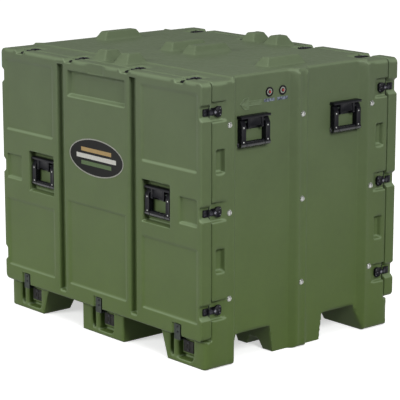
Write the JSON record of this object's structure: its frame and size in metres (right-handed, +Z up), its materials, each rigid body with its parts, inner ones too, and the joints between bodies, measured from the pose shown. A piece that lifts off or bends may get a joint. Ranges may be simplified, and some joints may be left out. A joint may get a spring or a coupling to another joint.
{
  "type": "hard equipment case",
  "caption": "Pallet-sized moulded equipment case with front and rear lift-off lids, turn latches, folding handles, fork feet, stacking lugs and inner mounting rails.",
  "frame": {"origin": "on the ground under the middle of the case", "axes": "+Z up, -Y towards the front lid, +X towards the side with the valves"},
  "size_m": [1.275, 1.03, 1.142],
  "materials": {
    "olive_polyethylene": "satin moulded, fine texture",
    "black_rubber": "matt",
    "black_hardware": "satin black powder coat",
    "dark_steel": "dark grey, matt",
    "zinc_steel": "bright zinc plate",
    "red_plastic": "gloss red",
    "black_plastic": "satin black",
    "label_film": "blank matt film",
    "badge_print": "printed plate with plain bands"
  },
  "bodies": {
    "tub": {"body_shell": "olive_polyethylene", "front_gasket": "black_rubber", "rear_gasket": "black_rubber", "left_rails": "zinc_steel", "right_rails": "zinc_steel", "side_bolts": "zinc_steel", "side_bolt_washers": "black_rubber", "side_bolt_nuts": "zinc_steel", "side_handle_plates": "black_hardware", "side_handle_pins": "dark_steel", "latch_bases": "black_hardware", "foot_strike_plates": "black_rubber", "body_rivets": "dark_steel", "valve_bodies": "black_plastic", "valve_nuts": "black_plastic", "valve_labels": "label_film"},
    "front_lid": {"front_lid": "olive_polyethylene", "front_lid_handle_plates": "black_hardware", "front_lid_handle_pins": "dark_steel", "front_keepers": "black_hardware", "front_lid_tongues": "dark_steel", "front_lid_rivets": "dark_steel", "nameplate": "badge_print"},
    "rear_lid": {"rear_lid": "olive_polyethylene", "rear_lid_handle_plates": "black_hardware", "rear_lid_handle_pins": "dark_steel", "rear_keepers": "black_hardware", "rear_lid_tongues": "dark_steel", "rear_lid_rivets": "dark_steel"},
    "right_front_handle": {"right_front_handle": "black_hardware"},
    "right_rear_handle": {"right_rear_handle": "black_hardware"},
    "left_front_handle": {"left_front_handle": "black_hardware"},
    "left_rear_handle": {"left_rear_handle": "black_hardware"},
    "front_lid_left_handle": {"front_lid_left_handle": "black_hardware"},
    "front_lid_right_handle": {"front_lid_right_handle": "black_hardware"},
    "rear_lid_left_handle": {"rear_lid_left_handle": "black_hardware"},
    "rear_lid_right_handle": {"rear_lid_right_handle": "black_hardware"},
    "front_top_latch_1": {"front_top_latch_1": "black_hardware"},
    "front_top_latch_2": {"front_top_latch_2": "black_hardware"},
    "front_top_latch_3": {"front_top_latch_3": "black_hardware"},
    "front_top_latch_4": {"front_top_latch_4": "black_hardware"},
    "front_right_latch_1": {"front_right_latch_1": "black_hardware"},
    "front_right_latch_2": {"front_right_latch_2": "black_hardware"},
    "front_right_latch_3": {"front_right_latch_3": "black_hardware"},
    "front_left_latch_1": {"front_left_latch_1": "black_hardware"},
    "front_left_latch_2": {"front_left_latch_2": "black_hardware"},
    "front_left_latch_3": {"front_left_latch_3": "black_hardware"},
    "rear_top_latch_1": {"rear_top_latch_1": "black_hardware"},
    "rear_top_latch_2": {"rear_top_latch_2": "black_hardware"},
    "rear_top_latch_3": {"rear_top_latch_3": "black_hardware"},
    "rear_top_latch_4": {"rear_top_latch_4": "black_hardware"},
    "rear_right_latch_1": {"rear_right_latch_1": "black_hardware"},
    "rear_right_latch_2": {"rear_right_latch_2": "black_hardware"},
    "rear_right_latch_3": {"rear_right_latch_3": "black_hardware"},
    "rear_left_latch_1": {"rear_left_latch_1": "black_hardware"},
    "rear_left_latch_2": {"rear_left_latch_2": "black_hardware"},
    "rear_left_latch_3": {"rear_left_latch_3": "black_hardware"},
    "valve_button_1": {"valve_button_1": "red_plastic"},
    "valve_button_2": {"valve_button_2": "red_plastic"}
  },
  "joints": [
    {"name": "front_lid_pull", "type": "slide", "parent": "tub", "child": "front_lid", "axis": [0, -1, 0], "range_m": [0, 0.5]},
    {"name": "rear_lid_pull", "type": "slide", "parent": "tub", "child": "rear_lid", "axis": [0, 1, 0], "range_m": [0, 0.5]},
    {"name": "right_front_handle_swing", "type": "hinge", "parent": "tub", "child": "right_front_handle", "pos_m": [0.62, -0.242, 0.929], "axis": [0, -1, 0], "range_deg": [0, 90]},
    {"name": "right_rear_handle_swing", "type": "hinge", "parent": "tub", "child": "right_rear_handle", "pos_m": [0.62, 0.242, 0.929], "axis": [0, -1, 0], "range_deg": [0, 90]},
    {"name": "left_front_handle_swing", "type": "hinge", "parent": "tub", "child": "left_front_handle", "pos_m": [-0.62, -0.242, 0.929], "axis": [0, 1, 0], "range_deg": [0, 90]},
    {"name": "left_rear_handle_swing", "type": "hinge", "parent": "tub", "child": "left_rear_handle", "pos_m": [-0.62, 0.242, 0.929], "axis": [0, 1, 0], "range_deg": [0, 90]},
    {"name": "front_lid_left_handle_swing", "type": "hinge", "parent": "front_lid", "child": "front_lid_left_handle", "pos_m": [-0.3675, -0.496, 0.645], "axis": [-1, 0, 0], "range_deg": [0, 90]},
    {"name": "front_lid_right_handle_swing", "type": "hinge", "parent": "front_lid", "child": "front_lid_right_handle", "pos_m": [0.3675, -0.496, 0.645], "axis": [-1, 0, 0], "range_deg": [0, 90]},
    {"name": "rear_lid_left_handle_swing", "type": "hinge", "parent": "rear_lid", "child": "rear_lid_left_handle", "pos_m": [-0.3675, 0.496, 0.645], "axis": [1, 0, 0], "range_deg": [0, 90]},
    {"name": "rear_lid_right_handle_swing", "type": "hinge", "parent": "rear_lid", "child": "rear_lid_right_handle", "pos_m": [0.3675, 0.496, 0.645], "axis": [1, 0, 0], "range_deg": [0, 90]},
    {"name": "front_top_latch_1_turn", "type": "hinge", "parent": "tub", "child": "front_top_latch_1", "pos_m": [-0.506, -0.4465, 1.085], "axis": [0, 0, 1], "range_deg": [0, 90]},
    {"name": "front_top_latch_2_turn", "type": "hinge", "parent": "tub", "child": "front_top_latch_2", "pos_m": [-0.178, -0.4465, 1.085], "axis": [0, 0, 1], "range_deg": [0, 90]},
    {"name": "front_top_latch_3_turn", "type": "hinge", "parent": "tub", "child": "front_top_latch_3", "pos_m": [0.178, -0.4465, 1.085], "axis": [0, 0, 1], "range_deg": [0, 90]},
    {"name": "front_top_latch_4_turn", "type": "hinge", "parent": "tub", "child": "front_top_latch_4", "pos_m": [0.506, -0.4465, 1.085], "axis": [0, 0, 1], "range_deg": [0, 90]},
    {"name": "front_right_latch_1_turn", "type": "hinge", "parent": "tub", "child": "front_right_latch_1", "pos_m": [0.62, -0.4465, 0.231], "axis": [1, 0, 0], "range_deg": [0, 90]},
    {"name": "front_right_latch_2_turn", "type": "hinge", "parent": "tub", "child": "front_right_latch_2", "pos_m": [0.62, -0.4465, 0.609], "axis": [1, 0, 0], "range_deg": [0, 90]},
    {"name": "front_right_latch_3_turn", "type": "hinge", "parent": "tub", "child": "front_right_latch_3", "pos_m": [0.62, -0.4465, 0.987], "axis": [1, 0, 0], "range_deg": [0, 90]},
    {"name": "front_left_latch_1_turn", "type": "hinge", "parent": "tub", "child": "front_left_latch_1", "pos_m": [-0.62, -0.4465, 0.231], "axis": [-1, 0, 0], "range_deg": [0, 90]},
    {"name": "front_left_latch_2_turn", "type": "hinge", "parent": "tub", "child": "front_left_latch_2", "pos_m": [-0.62, -0.4465, 0.609], "axis": [-1, 0, 0], "range_deg": [0, 90]},
    {"name": "front_left_latch_3_turn", "type": "hinge", "parent": "tub", "child": "front_left_latch_3", "pos_m": [-0.62, -0.4465, 0.987], "axis": [-1, 0, 0], "range_deg": [0, 90]},
    {"name": "rear_top_latch_1_turn", "type": "hinge", "parent": "tub", "child": "rear_top_latch_1", "pos_m": [-0.506, 0.4465, 1.085], "axis": [0, 0, 1], "range_deg": [0, 90]},
    {"name": "rear_top_latch_2_turn", "type": "hinge", "parent": "tub", "child": "rear_top_latch_2", "pos_m": [-0.178, 0.4465, 1.085], "axis": [0, 0, 1], "range_deg": [0, 90]},
    {"name": "rear_top_latch_3_turn", "type": "hinge", "parent": "tub", "child": "rear_top_latch_3", "pos_m": [0.178, 0.4465, 1.085], "axis": [0, 0, 1], "range_deg": [0, 90]},
    {"name": "rear_top_latch_4_turn", "type": "hinge", "parent": "tub", "child": "rear_top_latch_4", "pos_m": [0.506, 0.4465, 1.085], "axis": [0, 0, 1], "range_deg": [0, 90]},
    {"name": "rear_right_latch_1_turn", "type": "hinge", "parent": "tub", "child": "rear_right_latch_1", "pos_m": [0.62, 0.4465, 0.231], "axis": [1, 0, 0], "range_deg": [0, 90]},
    {"name": "rear_right_latch_2_turn", "type": "hinge", "parent": "tub", "child": "rear_right_latch_2", "pos_m": [0.62, 0.4465, 0.609], "axis": [1, 0, 0], "range_deg": [0, 90]},
    {"name": "rear_right_latch_3_turn", "type": "hinge", "parent": "tub", "child": "rear_right_latch_3", "pos_m": [0.62, 0.4465, 0.987], "axis": [1, 0, 0], "range_deg": [0, 90]},
    {"name": "rear_left_latch_1_turn", "type": "hinge", "parent": "tub", "child": "rear_left_latch_1", "pos_m": [-0.62, 0.4465, 0.231], "axis": [-1, 0, 0], "range_deg": [0, 90]},
    {"name": "rear_left_latch_2_turn", "type": "hinge", "parent": "tub", "child": "rear_left_latch_2", "pos_m": [-0.62, 0.4465, 0.609], "axis": [-1, 0, 0], "range_deg": [0, 90]},
    {"name": "rear_left_latch_3_turn", "type": "hinge", "parent": "tub", "child": "rear_left_latch_3", "pos_m": [-0.62, 0.4465, 0.987], "axis": [-1, 0, 0], "range_deg": [0, 90]},
    {"name": "valve_button_1_press", "type": "slide", "parent": "tub", "child": "valve_button_1", "axis": [-1, 0, 0], "range_m": [0, 0.003], "stiffness_N_per_m": 600},
    {"name": "valve_button_2_press", "type": "slide", "parent": "tub", "child": "valve_button_2", "axis": [-1, 0, 0], "range_m": [0, 0.003], "stiffness_N_per_m": 600}
  ]
}
